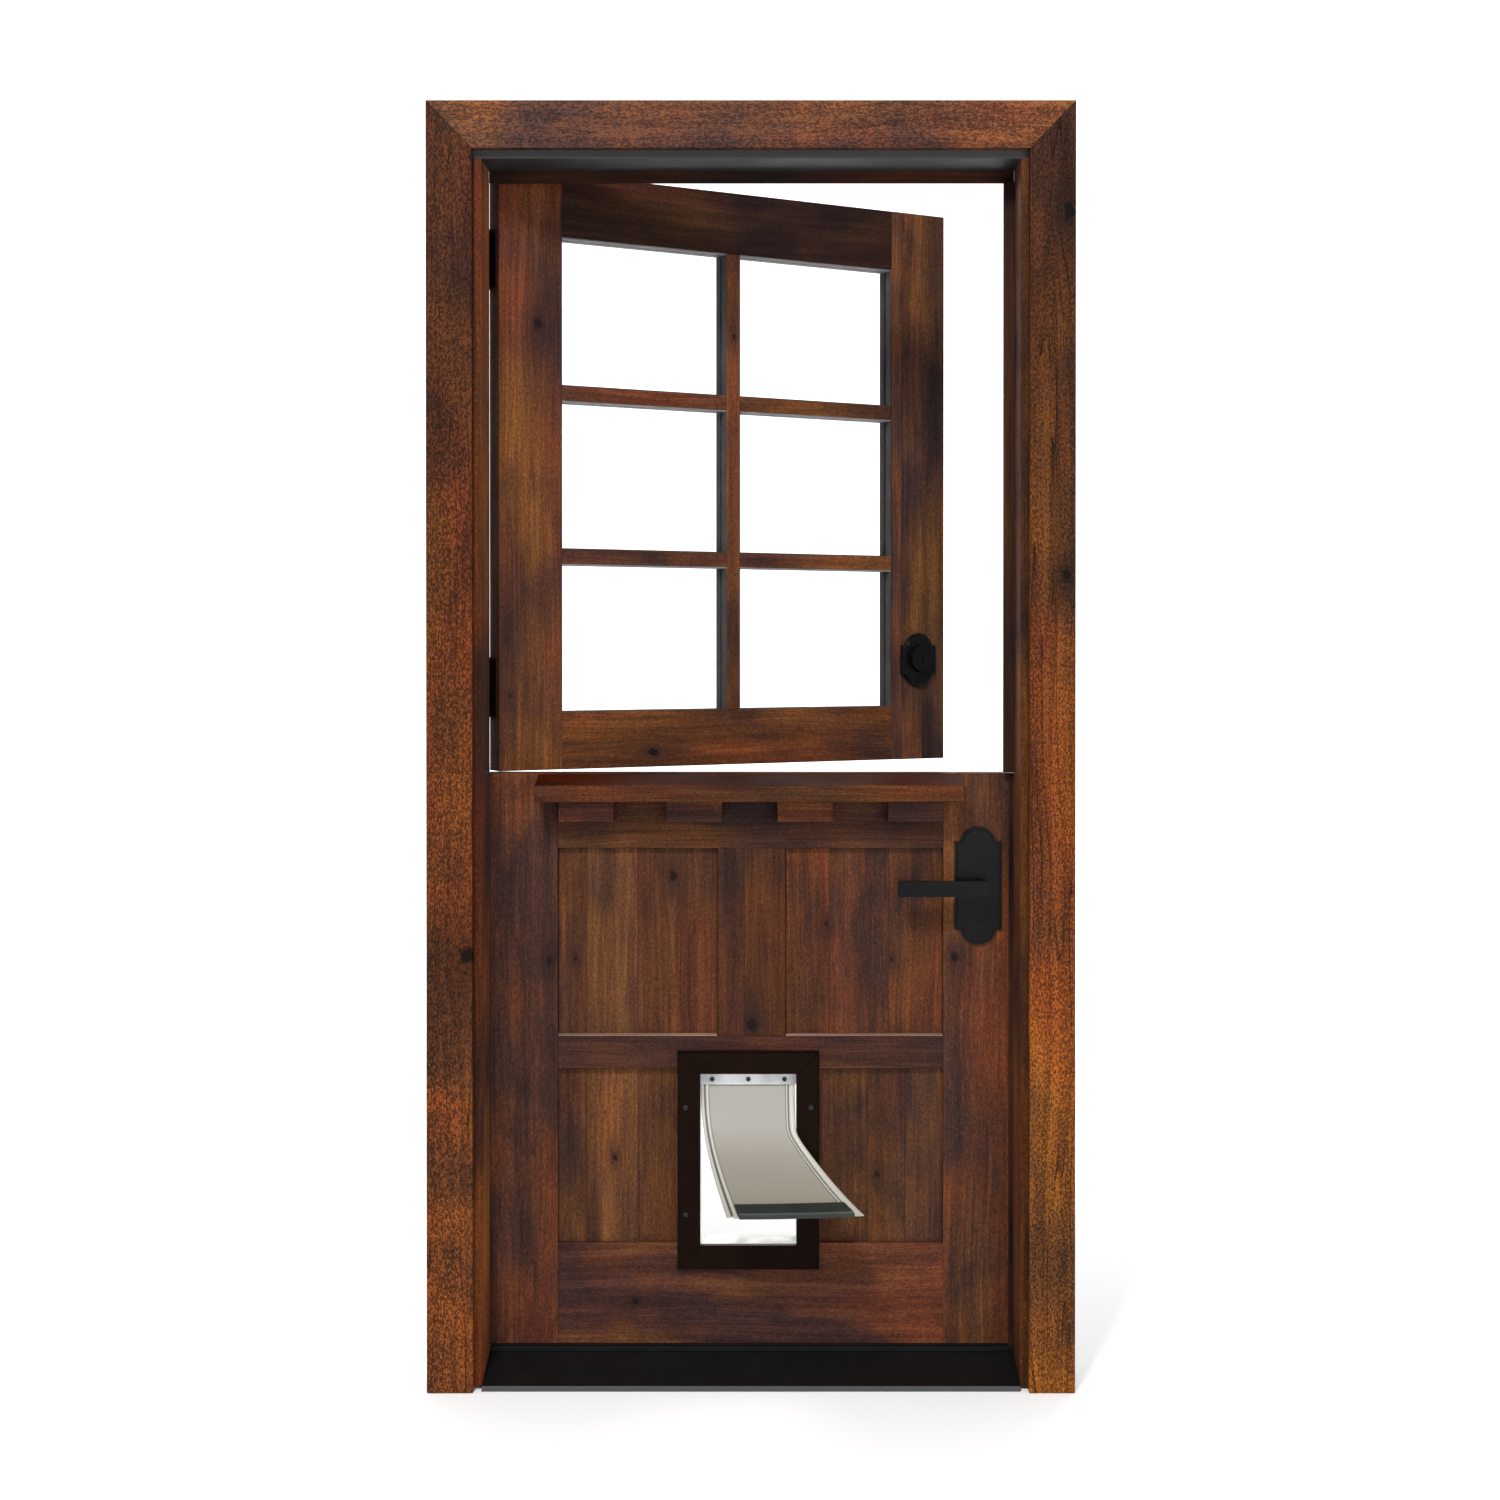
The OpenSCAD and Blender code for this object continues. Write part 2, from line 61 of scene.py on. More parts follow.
class G:
    """Short helpers for building a node tree."""

    def __init__(self, mat):
        mat.use_nodes = True
        self.t = mat.node_tree
        clean(self.t)
        self.out = self.n("ShaderNodeOutputMaterial")
        self.b = self.n("ShaderNodeBsdfPrincipled")
        self.link(self.b.outputs[0], self.out.inputs[0])

    def n(self, kind, **kw):
        node = self.t.nodes.new(kind)
        for k, v in kw.items():
            setattr(node, k, v)
        return node

    def link(self, a, b):
        self.t.links.new(a, b)

    def set(self, sock, v):
        if hasattr(v, "links") or isinstance(v, bpy.types.NodeSocket):
            self.link(v, sock)
        else:
            sock.default_value = v

    def math(self, op, a, b=0.0, c=None, clamp=False):
        m = self.n("ShaderNodeMath", operation=op)
        m.use_clamp = clamp
        self.set(m.inputs[0], a)
        self.set(m.inputs[1], b)
        if c is not None:
            self.set(m.inputs[2], c)
        return m.outputs[0]

    def vmath(self, op, a, b=None, out=0):
        m = self.n("ShaderNodeVectorMath", operation=op)
        self.set(m.inputs[0], a)
        if b is not None:
            self.set(m.inputs[1], b)
        return m.outputs[out]

    def noise(self, vec, scale, detail=3.0, rough=0.5, dist=0.0, w=None):
        m = self.n("ShaderNodeTexNoise")
        if w is not None:
            m.noise_dimensions = "4D"
            self.set(m.inputs["W"], w)
        self.set(m.inputs["Vector"], vec)
        m.inputs["Scale"].default_value = scale
        m.inputs["Detail"].default_value = detail
        m.inputs["Roughness"].default_value = rough
        m.inputs["Distortion"].default_value = dist
        return m.outputs["Fac"] if "Fac" in m.outputs else m.outputs[0]

    def ramp(self, fac, stops, interp="LINEAR"):
        m = self.n("ShaderNodeValToRGB")
        cr = m.color_ramp
        cr.interpolation = interp
        while len(cr.elements) > 1:
            cr.elements.remove(cr.elements[-1])
        cr.elements[0].position = stops[0][0]
        cr.elements[0].color = col(stops[0][1])
        for p, c in stops[1:]:
            e = cr.elements.new(p)
            e.color = col(c)
        self.set(m.inputs[0], fac)
        return m.outputs[0]

    def mix(self, fac, a, b, mode="MIX"):
        m = self.n("ShaderNodeMix", data_type="RGBA", blend_type=mode)
        self.set(m.inputs[0], fac)
        self.set(m.inputs[6], a)
        self.set(m.inputs[7], b)
        return m.outputs[2]

    def maprange(self, v, a, b, c, d):
        m = self.n("ShaderNodeMapRange")
        self.set(m.inputs[0], v)
        for i, x in enumerate((a, b, c, d)):
            m.inputs[i + 1].default_value = x
        return m.outputs[0]

    def bump(self, height, strength, dist, normal=None):
        m = self.n("ShaderNodeBump")
        m.inputs["Strength"].default_value = strength
        m.inputs["Distance"].default_value = dist
        self.set(m.inputs["Height"], height)
        if normal is not None:
            self.set(m.inputs["Normal"], normal)
        return m.outputs[0]


def lin(v):
    v = v / 255.0
    return v / 12.92 if v <= 0.04045 else ((v + 0.055) / 1.055) ** 2.4


def col(c):
    """8-bit sRGB triple, or a grey in 0..1, to linear RGBA."""
    if isinstance(c, (int, float)):
        return (c, c, c, 1.0)
    return (lin(c[0]), lin(c[1]), lin(c[2]), 1.0)


def wood(name, along="z", seed=0, tone=0.5, bright=1.0, tint=(1.0, 1.0, 1.0), fade=None, knots=(),
         boards=None, tones=None, turn=0.0, rough=0.5, speckle=0.9, wave=1.0, warm=0.5, lines=1.5,
         spec=0.06, front=None):
    """Stained knotty timber. along: grain direction, turn: rotation of the leaf about z,
    tone: share of clear wood against dark stain, warm: share of golden against red wood,
    fade: (z low, z high, tint low, tint high) multiplies the tone by height, a painted shade that darkens the
    board higher up,
    knots: (across, along, radius) in metres in the board's own frame,
    boards: x positions of glue joints, tones: lightness of each board between them,
    front: (y, tint) of the part of the board that lies in front of y, painted light and shade: the front edge is
    toned darker than the shaded inner face behind it."""
    mat = bpy.data.materials.new(name)
    g = G(mat)
    rnd = random.Random(seed * 7 + 3)
    tc = g.n("ShaderNodeTexCoord")
    mp = g.n("ShaderNodeMapping")
    mp.vector_type = "TEXTURE" if turn else "POINT"
    if turn:
        mp.inputs["Location"].default_value = (PIN[0], PIN[1], 0)
        mp.inputs["Rotation"].default_value = (0, 0, turn)
    g.link(tc.outputs["Object"], mp.inputs[0])
    sep = g.n("ShaderNodeSeparateXYZ")
    g.link(mp.outputs[0], sep.inputs[0])
    x, y, z = sep.outputs
    if along == "z":
        u, v, w = x, z, y
    else:
        u, v, w = z, x, y

    def vec(a, b, c):
        m = g.n("ShaderNodeCombineXYZ")
        g.set(m.inputs[0], a)
        g.set(m.inputs[1], b)
        g.set(m.inputs[2], c)
        return m.outputs[0]

    # board frame: u across, v along, w depth
    off = [rnd.uniform(-9, 9) for _ in range(3)]
    uu = g.math("ADD", u, off[0])
    vv = g.math("ADD", v, off[1])
    ww = g.math("ADD", w, off[2])
    step = None
    if boards:
        # every glued board is its own piece of timber
        for i, bx in enumerate(boards):
            k = g.math("MULTIPLY", g.math("GREATER_THAN", u, bx), 0.61 + 0.37 * ((i * 5 + seed) % 3))
            step = k if step is None else g.math("ADD", step, k)
        vv = g.math("ADD", vv, g.math("MULTIPLY", step, 3.3))
        ww = g.math("ADD", ww, step)
    # knots: a dark irregular core, a stained halo drawn out along the grain
    core = halo = bend = None
    warp = g.noise(vec(uu, vv, ww), 55.0, 3.0, 0.6)
    for i, (ku, kv, kr) in enumerate(knots):
        du = g.math("SUBTRACT", u, ku)
        dv = g.math("SUBTRACT", v, kv)
        u2 = g.math("MULTIPLY", du, du)
        v2 = g.math("MULTIPLY", dv, dv)
        d = g.math("SQRT", g.math("ADD", u2, g.math("MULTIPLY", v2, 0.5)))
        d = g.math("ADD", d, g.math("MULTIPLY", g.math("SUBTRACT", warp, 0.5), kr * 1.7))
        c1 = g.maprange(d, kr * 0.45, kr * 0.85, 1.0, 0.0)
        rim = g.math("MULTIPLY", g.math("SINE", g.math("MULTIPLY", d, 7.5 / kr)), 0.5)
        rim = g.math("MULTIPLY", rim, g.maprange(d, kr * 1.0, kr * 2.4, 0.6, 0.0))
        c1 = g.math("MAXIMUM", c1, rim)
        h1 = g.math("POWER", 2.718, g.math("MULTIPLY", g.math("ADD", u2, g.math("MULTIPLY", v2, 0.16)), -1.0 / (kr * kr * 7.0)))
        core = c1 if core is None else g.math("MAXIMUM", core, c1)
        halo = h1 if halo is None else g.math("MAXIMUM", halo, h1)
        r2 = g.math("ADD", u2, g.math("MULTIPLY", v2, 0.18))
        fall = g.math("POWER", 2.718, g.math("MULTIPLY", r2, -1.0 / (kr * kr * 6.0)))
        sgn = g.math("MULTIPLY", g.math("DIVIDE", du, g.math("ADD", g.math("ABSOLUTE", du), kr * 0.35)), kr * 1.3)
        b = g.math("MULTIPLY", fall, sgn)
        bend = b if bend is None else g.math("ADD", bend, b)
    ug = g.math("SUBTRACT", uu, bend) if bend is not None else uu
    wav = g.noise(vec(g.math("MULTIPLY", uu, 2.5), g.math("MULTIPLY", vv, 1.3), ww), 1.5, 1.0)
    ug = g.math("ADD", ug, g.math("MULTIPLY", wav, 0.030 * wave))
    gp = vec(ug, g.math("MULTIPLY", vv, 0.035), g.math("MULTIPLY", ww, 0.5))
    band = g.noise(gp, 34.0, 3.0, 0.55)
    fine = g.noise(gp, 150.0, 3.0, 0.62)
    hair = g.noise(vec(ug, g.math("MULTIPLY", vv, 0.02), ww), 430.0, 2.0, 0.6)
    # late wood: thin dark lines that follow the growth rings
    late = g.math("FRACT", g.math("MULTIPLY", g.noise(gp, 12.0, 2.0, 0.4), 26.0))
    late = g.maprange(late, 0.0, 0.22, 1.0, 0.0)
    late = g.math("MULTIPLY", late, g.maprange(fine, 0.42, 0.6, 0.1, 1.0))
    ring = g.math("FRACT", g.math("MULTIPLY", g.noise(gp, 9.0, 1.0, 0.4), 11.0))
    ring = g.math("MULTIPLY", g.maprange(ring, 0.0, 0.4, 1.0, 0.0), g.maprange(band, 0.40, 0.56, 0.15, 1.0))
    # stain taken up unevenly, in patches as long as a hand
    bl = vec(g.math("MULTIPLY", uu, 1.5), g.math("MULTIPLY", vv, 0.72), ww)
    big = g.noise(bl, 3.6, 3.0, 0.5, 0.5)
    mid = g.noise(bl, 13.0, 3.0, 0.55, 0.3)
    hue = g.noise(vec(g.math("MULTIPLY", uu, 2.0), g.math("MULTIPLY", vv, 0.5), g.math("ADD", ww, 5.0)), 4.5, 2.0)
    patch = g.math("ADD", g.math("MULTIPLY", big, 0.8), g.math("MULTIPLY", mid, 0.2))
    dk = g.maprange(patch, 0.38 - 0.28 * (tone - 0.5), 0.60 - 0.28 * (tone - 0.5), 1.0, 0.0)
    # pebbled surface of the stain
    sp = vec(uu, g.math("MULTIPLY", vv, 0.5), ww)
    peb = g.noise(sp, 330.0, 2.0, 0.7)
    peb2 = g.noise(sp, 760.0, 2.0, 0.6)
    peb = g.math("SUBTRACT", g.math("ADD", g.math("MULTIPLY", peb, 0.6), g.math("MULTIPLY", peb2, 0.4)), 0.5)
    base = g.math("ADD", g.math("MULTIPLY", band, 0.42), g.math("MULTIPLY", fine, 0.38))
    base = g.math("ADD", base, g.math("MULTIPLY", hair, 0.20))
    base = g.maprange(base, 0.34, 0.66, 0.0, 1.0)
    base = g.math("ADD", base, g.math("MULTIPLY", peb, 2.6 * speckle))
    s = bright
    t = tint

    def tn(r, gg, b):
        return (r * s * t[0], gg * s * t[1], b * s * t[2])

    gold = g.ramp(base, [(0.0, tn(72, 43, 24)), (0.5, tn(106, 63, 32)), (1.0, tn(140, 88, 46))])
    red = g.ramp(base, [(0.0, tn(66, 34, 24)), (0.5, tn(100, 51, 32)), (1.0, tn(132, 73, 44))])
    dark = g.ramp(base, [(0.0, tn(34, 23, 24)), (0.5, tn(54, 35, 34)), (1.0, tn(80, 50, 42))])
    c = g.mix(g.maprange(hue, 0.40 + 0.2 * (0.5 - warm), 0.60 + 0.2 * (0.5 - warm), 0.0, 1.0), red, gold)
    c = g.mix(dk, c, dark)
    if halo is not None:
        c = g.mix(g.math("MULTIPLY", halo, 0.62), c, (lin(38), lin(24), lin(24), 1.0))
    if boards:
        tones = tones or [1.0] * (len(boards) + 1)
        lev = None
        for bx, t0, t1 in zip(boards, tones, tones[1:]):
            k = g.math("MULTIPLY", g.math("GREATER_THAN", u, bx), t1 - t0)
            lev = g.math("ADD", tones[0], k) if lev is None else g.math("ADD", lev, k)
        lv = g.n("ShaderNodeCombineXYZ")
        for q in range(3):
            g.link(lev, lv.inputs[q])
        c = g.mix(1.0, c, lv.outputs[0], "MULTIPLY")
        for bx in boards:
            dj = g.math("ABSOLUTE", g.math("SUBTRACT", u, bx))
            c = g.mix(g.maprange(dj, 0.0004, 0.0013, 0.4, 0.0), c, (0.008, 0.004, 0.003, 1.0))
    c = g.mix(g.math("MULTIPLY", late, 0.34 * lines), c, (lin(36), lin(19), lin(15), 1.0))
    c = g.mix(g.math("MULTIPLY", ring, 0.15 * lines), c, (lin(36), lin(19), lin(15), 1.0))
    if core is not None:
        c = g.mix(core, c, (lin(24), lin(15), lin(14), 1.0))
    # painted shade: the tone darkens with height
    if fade:
        z0, z1, a, b = fade
        f = g.maprange(z, z0, z1, 0.0, 1.0)
        c = g.mix(1.0, c, g.ramp(f, [(0.0, a), (1.0, b)]), "MULTIPLY")
    # painted light and shade: the front edge is toned darker than the shaded face behind it
    if front:
        c = g.mix(1.0, c, g.ramp(g.maprange(y, front[0] - 0.0006, front[0] + 0.0006, 0.0, 1.0), [(0.0, front[1]), (1.0, (255, 255, 255))]), "MULTIPLY")
    g.link(c, g.b.inputs["Base Color"])
    r = g.math("ADD", g.math("MULTIPLY", mid, 0.22), rough - 0.11)
    r = g.math("ADD", r, g.math("MULTIPLY", late, 0.12))
    g.link(r, g.b.inputs["Roughness"])
    g.b.inputs["Specular IOR Level"].default_value = spec
    h = g.math("SUBTRACT", g.math("MULTIPLY", fine, 0.6), g.math("MULTIPLY", late, 0.4))
    h = g.math("ADD", h, g.math("MULTIPLY", peb, 1.2 * speckle))
    g.link(g.bump(h, 0.4, 0.0007), g.b.inputs["Normal"])
    return mat


def metal_black(name, base=(20, 20, 21), rough=0.38, metallic=0.0, seed=0, spec=0.07, grit=1.0, seams=None, lip=None, throat=None):
    """Painted or plated metal and moulded plastic. seams: darker mitre lines of a frame
    (centre x, centre z, half width minus half height), lip: (y, tone) lightens what is in front of y, painted
    light that makes the front face a lighter grey than the rest,
    throat: (centre x, centre z, half width, half height) of a white lining."""
    mat = bpy.data.materials.new(name)
    g = G(mat)
    tc = g.n("ShaderNodeTexCoord")
    p = tc.outputs["Object"]
    a = g.noise(p, 24.0 + seed, 3.0)
    f = g.noise(p, 900.0, 2.0)
    c = g.ramp(a, [(0.3, tuple(v * 0.88 for v in base)), (0.7, tuple(v * 1.12 for v in base))])
    if seams or lip or throat:
        sep = g.n("ShaderNodeSeparateXYZ")
        g.link(p, sep.inputs[0])
    if seams:
        ax = g.math("ABSOLUTE", g.math("SUBTRACT", sep.outputs[0], seams[0]))
        az = g.math("ABSOLUTE", g.math("SUBTRACT", sep.outputs[2], seams[1]))
        d = g.math("ABSOLUTE", g.math("SUBTRACT", g.math("SUBTRACT", ax, az), seams[2]))
        line = g.maprange(d, 0.0006, 0.0015, 1.0, 0.0)
        c = g.mix(line, c, (0.0005, 0.0004, 0.0003, 1.0))
    # painted light: the front face is toned a lighter grey than the black behind it
    if lip:
        c = g.mix(g.maprange(sep.outputs[1], lip[0], lip[0] + 0.0005, 1.0, 0.0), c, (lin(lip[1]), lin(lip[1]), lin(lip[1] + 1), 1.0))
    if throat:
        bx = g.math("SUBTRACT", g.math("ABSOLUTE", g.math("SUBTRACT", sep.outputs[0], throat[0])), throat[2])
        bz = g.math("SUBTRACT", g.math("ABSOLUTE", g.math("SUBTRACT", sep.outputs[2], throat[1])), throat[3])
        inside = g.maprange(g.math("MAXIMUM", bx, bz), 0.0004, 0.0009, 1.0, 0.0)
        c = g.mix(inside, c, col((236, 238, 232)))
    g.link(c, g.b.inputs["Base Color"])
    g.link(g.math("ADD", g.math("MULTIPLY", a, 0.10), rough - 0.05), g.b.inputs["Roughness"])
    g.b.inputs["Metallic"].default_value = metallic
    g.b.inputs["Specular IOR Level"].default_value = spec
    g.link(g.bump(f, 0.10 * grit, 0.0002), g.b.inputs["Normal"])
    return mat


hinge = next(j for j in frame["record"]["behaviour"]["joints"] if j["name"] == "upper_swing")
PIN = Vector(hinge["pos_m"])


def leaf(p):
    """A point of the closed upper leaf, as it stands ajar."""
    d = Vector(p) - Vector((PIN.x, PIN.y, 0))
    return Vector((PIN.x, PIN.y, 0)) + Matrix.Rotation(OPEN, 3, "Z") @ d


def node(name):
    return bpy.data.objects[name] if name in bpy.data.objects else frame["nodes"][name]


def give(name, mat):
    o = node(name)
    if not o.data.materials:
        o.data.materials.append(mat)
    for i in range(len(o.material_slots)):
        o.material_slots[i].material = mat
    return o


def ease(name, width, segments=2, angle=30):
    o = node(name)
    w = o.modifiers.new("weld", "WELD")
    w.merge_threshold = 0.00002
    d = o.modifiers.new("flat", "DECIMATE")
    d.decimate_type = "DISSOLVE"
    d.angle_limit = math.radians(0.5)
    b = o.modifiers.new("ease", "BEVEL")
    b.width = width
    b.segments = segments
    b.limit_method = "ANGLE"
    b.angle_limit = math.radians(angle)
    b.harden_normals = True
    return o


def z_of(px_y):
    return px_y


# ---- timber ----
tim = {
    # the casings' fade is painted shade: they darken towards the top
    "casing_left": dict(along="z", seed=11, tone=0.40, warm=0.35, bright=1.26, speckle=3.3, lines=3.0, fade=(0.15, 1.9, (255, 235, 166), (134, 124, 112)), knots=((-0.472, 0.724, 0.019),)),
    "casing_right": dict(along="z", seed=24, tone=0.64, warm=0.70, bright=1.27, speckle=2.8, lines=3.0, fade=(0.1, 1.9, (255, 244, 158), (112, 106, 112)), knots=((0.526, 1.957, 0.013), (0.522, 1.355, 0.009))),
    "casing_head": dict(along="x", seed=33, tone=0.46, warm=0.45, bright=0.95, tint=(1.0, 0.98, 0.92), speckle=2.8, lines=2.0),
    # the jambs' front tint is painted light and shade: the front edge is toned darker than the inner face, which
    # lies in shade
    "jamb_hinge": dict(along="z", seed=41, tone=0.50, warm=0.6, bright=1.29, tint=(1.0, 1.02, 0.98), speckle=1.3, lines=1.6, front=(0.0012, (176, 156, 130))),
    "jamb_strike": dict(along="z", seed=42, tone=0.55, warm=0.6, bright=0.905, tint=(1.0, 1.01, 1.14), speckle=1.3, lines=1.6, front=(0.0012, (199, 189, 136))),
    "lower_stile_hinge": dict(along="z", seed=51, tone=0.38, warm=0.3, bright=1.02, tint=(1.0, 0.97, 0.86), knots=((-0.345, 0.70, 0.007),)),
    "lower_stile_lock": dict(along="z", seed=52, tone=0.42, warm=0.3, bright=0.96, tint=(1.0, 1.02, 0.92), knots=((0.348, 0.705, 0.009),)),
    "lower_stile_centre": dict(along="z", seed=53, tone=0.42, bright=0.75, tint=(1.0, 1.01, 0.90), boards=(-0.012,), tones=(1.12, 0.92), knots=((0.0, 0.592, 0.013),)),
    "lower_rail_top": dict(along="x", seed=54, tone=0.45, bright=0.75, tint=(1.0, 1.03, 1.0)),
    "lower_rail_middle": dict(along="x", seed=55, tone=0.36, warm=0.2, bright=0.70, tint=(1.0, 1.05, 1.15)),
    "lower_rail_bottom": dict(along="x", seed=56, tone=0.44, bright=0.90, knots=((0.115, -0.20, 0.007),)),
    "panel_upper_left": dict(along="z", seed=61, tone=0.50, warm=0.6, bright=0.82, tint=(1.0, 1.03, 1.0), boards=(-0.2823, -0.1948), tones=(0.92, 1.12, 0.86), knots=((-0.135, 0.842, 0.011), (-0.302, 0.700, 0.004))),
    "panel_upper_right": dict(along="z", seed=62, tone=0.52, warm=0.4, bright=0.92, tint=(1.0, 0.96, 0.82), boards=(0.134, 0.235), tones=(0.86, 1.12, 0.96), knots=((0.128, 0.762, 0.006), (0.24, 0.70, 0.004))),
    "panel_lower": dict(along="z", seed=63, tone=0.50, warm=0.6, bright=0.84, tint=(1.0, 1.02, 0.97), boards=(-0.2823, -0.1948, 0.1996, 0.263), tones=(0.92, 1.10, 0.84, 0.98, 1.14), knots=((-0.235, 0.36, 0.005), (0.215, 0.33, 0.006))),
    # the shelf's fade is painted shade: its sloped top is darker than its lit front face
    "shelf": dict(along="x", seed=71, tone=0.52, warm=0.3, bright=0.78, tint=(1.0, 1.05, 1.0), spec=0.01, fade=(1.0035, 1.0050, (255, 255, 255), (182, 138, 100))),
    "shelf_blocks": dict(along="x", seed=72, tone=0.5, bright=0.84),
}
up = {
    "upper_stile_hinge": dict(along="z", seed=81, tone=0.55, warm=0.55, bright=0.91, tint=(1.0, 1.0, 0.94), knots=((0.075, 1.795, 0.011), (0.022, 1.152, 0.004))),
    "upper_stile_lock": dict(along="z", seed=82, tone=0.40, bright=0.84, tint=(1.0, 1.06, 1.06), boards=(0.8205, 0.866), tones=(1.35, 1.02, 0.86)),
    # upper_rail_top's low brightness is partly its stain and partly painted shade, standing in for the head's
    # shadow on the rail
    "upper_rail_top": dict(along="x", seed=83, tone=0.36, bright=0.49, tint=(1.0, 1.0, 1.02)),
    "upper_rail_bottom": dict(along="x", seed=84, tone=0.52, bright=0.95, tint=(1.0, 0.98, 0.86), knots=((1.05, 0.296, 0.011),)),
    "glazing_bar_upright": dict(along="z", seed=85, tone=0.45, bright=0.9, knots=((0.46, 1.80, 0.006),)),
    "glazing_bars_across": dict(along="x", seed=86, tone=0.55, bright=0.9),
}
for n, kw in tim.items():
    give(n, wood("timber_" + n, **kw))
    ease(n, 0.0011 if n.startswith(("casing", "jamb")) else 0.0013)
for n, kw in up.items():
    give(n, wood("timber_" + n, turn=OPEN, **kw))
    ease(n, 0.0012)

# ---- hardware ----
satin_black = metal_black("satin_black", (10, 10, 10), 0.28, spec=0.08)
for n in ("bolt_plate_out", "bolt_cylinder", "bolt_plate_in", "thumb_turn", "lever_plate_out", "lever_plate_in", "lever_assembly"):
    give(n, satin_black)
    ease(n, 0.0026 if "plate_out" in n else 0.0013, 2 if "plate_out" in n else 3, 35)
hinge_black = metal_black("hinge_bronze", (40, 27, 21), 0.45, 0.3)
for n in ("hinge_jamb_upper", "hinge_jamb_lower", "hinge_leaf_upper", "hinge_leaf_lower", "hinge_pins", "strike_latch", "strike_bolt", "bolt_faceplate", "latch_faceplate"):
    give(n, hinge_black)
steel = metal_black("bolt_steel", (120, 120, 122), 0.32, 1.0)
for n in ("dead_bolt", "latch_bolt"):
    give(n, steel)
# the sill's lip is painted light: its front face is a lighter grey than the black sill
give("sill", metal_black("sill_black", (17, 17, 18), 0.32, 0.0, spec=0.12, grit=0.3, lip=(-0.0115, 70)))
ease("sill", 0.0012, 2)
# the head's lip is painted light: its front band is a lighter grey than the black soffit
give("jamb_head", metal_black("head_black", (17, 17, 17), 0.60, 0.0, spec=0.5, grit=0.0, lip=(0.0006, 40)))
ease("jamb_head", 0.001)
rub = metal_black("seal_rubber", (28, 18, 15), 0.75, spec=0.1)
for n in ("seal_left", "door_sweep"):
    give(n, rub)
give("sill_cap", metal_black("cap_black", (17, 19, 20), 0.5, spec=0.1))
ease("sill_cap", 0.0008)
for n, kw in {"seal_right_upper": dict(along="z", seed=91), "seal_right_lower": dict(along="z", seed=92), "seal_head": dict(along="x", seed=93)}.items():
    give(n, wood("stained_" + n, tone=0.5, bright=0.52, speckle=0.3, **kw))
    ease(n, 0.0008)
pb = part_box("pet_frame_out")
cx, cz = (pb[0][0] + pb[1][0]) / 2, (pb[0][2] + pb[1][2]) / 2
pet_brown = metal_black("pet_brown", (19, 9, 5), 0.34, 0.0, spec=0.03,
                        seams=(cx, cz, (pb[1][0] - pb[0][0]) / 2 - (pb[1][2] - pb[0][2]) / 2))
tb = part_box("pet_tunnel")
pet_lined = metal_black("pet_brown_lined", (19, 9, 5), 0.34, 0.0, spec=0.03,
                        throat=(cx, cz + 0.002, 0.082, 0.1465))
for n in ("pet_frame_out", "pet_frame_in"):
    give(n, pet_brown if n == "pet_frame_out" else pet_lined)
    ease(n, 0.0009, 3)
liner = metal_black("pet_liner", (240, 242, 236), 0.6, 0.0, spec=0.02, grit=0.2)
give("pet_tunnel", liner)
give("flap_clamp", metal_black("clamp_metal", (196, 197, 200), 0.45, 0.0, spec=0.3, grit=0.4))
ease("flap_clamp", 0.0008)
give("pet_screws", metal_black("screw_dark", (3, 3, 3), 0.2, 0.0, spec=0.3))
ease("pet_screws", 0.0007, 2)
give("clamp_screws", metal_black("screw_grey", (40, 40, 42), 0.30, 0.6, spec=0.4))


def glass():
    mat = bpy.data.materials.new("clear_glass")
    g = G(mat)
    tc = g.n("ShaderNodeTexCoord")
    n = g.noise(tc.outputs["Object"], 6.0, 2.0)
    g.link(g.ramp(n, [(0.3, 0.97), (0.7, 1.0)]), g.b.inputs["Base Color"])
    g.link(g.maprange(n, 0.3, 0.7, 0.01, 0.03), g.b.inputs["Roughness"])
    g.b.inputs["IOR"].default_value = 1.45
    g.b.inputs["Transmission Weight"].default_value = 1.0
    g.b.inputs["Specular IOR Level"].default_value = 0.35
    return mat


give("glass_panes", glass())

# ---- flexible flap ----
J = next(j for j in frame["record"]["behaviour"]["joints"] if j["name"] == "flap_swing")
FP = Vector(J["pos_m"])


def flap_point(u, v, off=0.0):
    """u 0..1 across, v 0..1 down the flap, off towards the outside."""
    a0, a1 = math.radians(15), math.radians(66)
    L = 0.2500 - 0.0065 * (u - 0.5)
    r = 0.262 / (a1 - a0)
    s = v * L
    a = a0 + s / r
    y = -r * (math.cos(a0) - math.cos(a))
    z = -r * (math.sin(a) - math.sin(a0))
    t = max(v, 0.0)
    # both side edges bow out to the right, the right one only once it is out of the frame
    left = -0.0817 + 0.0675 * t ** 2 - 0.0196 * t ** 4
    q = t - 0.34
    right = 0.0795 + 0.0850 * (math.sqrt(q * q + 0.0020) + q)
    x = left + (right - left) * u
    n = Vector((0, -math.cos(a), math.sin(a) * 1.0))
    # side edges curl forward a little towards the bottom
    lift = 0.0015 * v * abs(u * 2 - 1) ** 3
    pt = Vector((FP.x + x, FP.y + y, FP.z + z)) + n * (off + lift)
    return pt


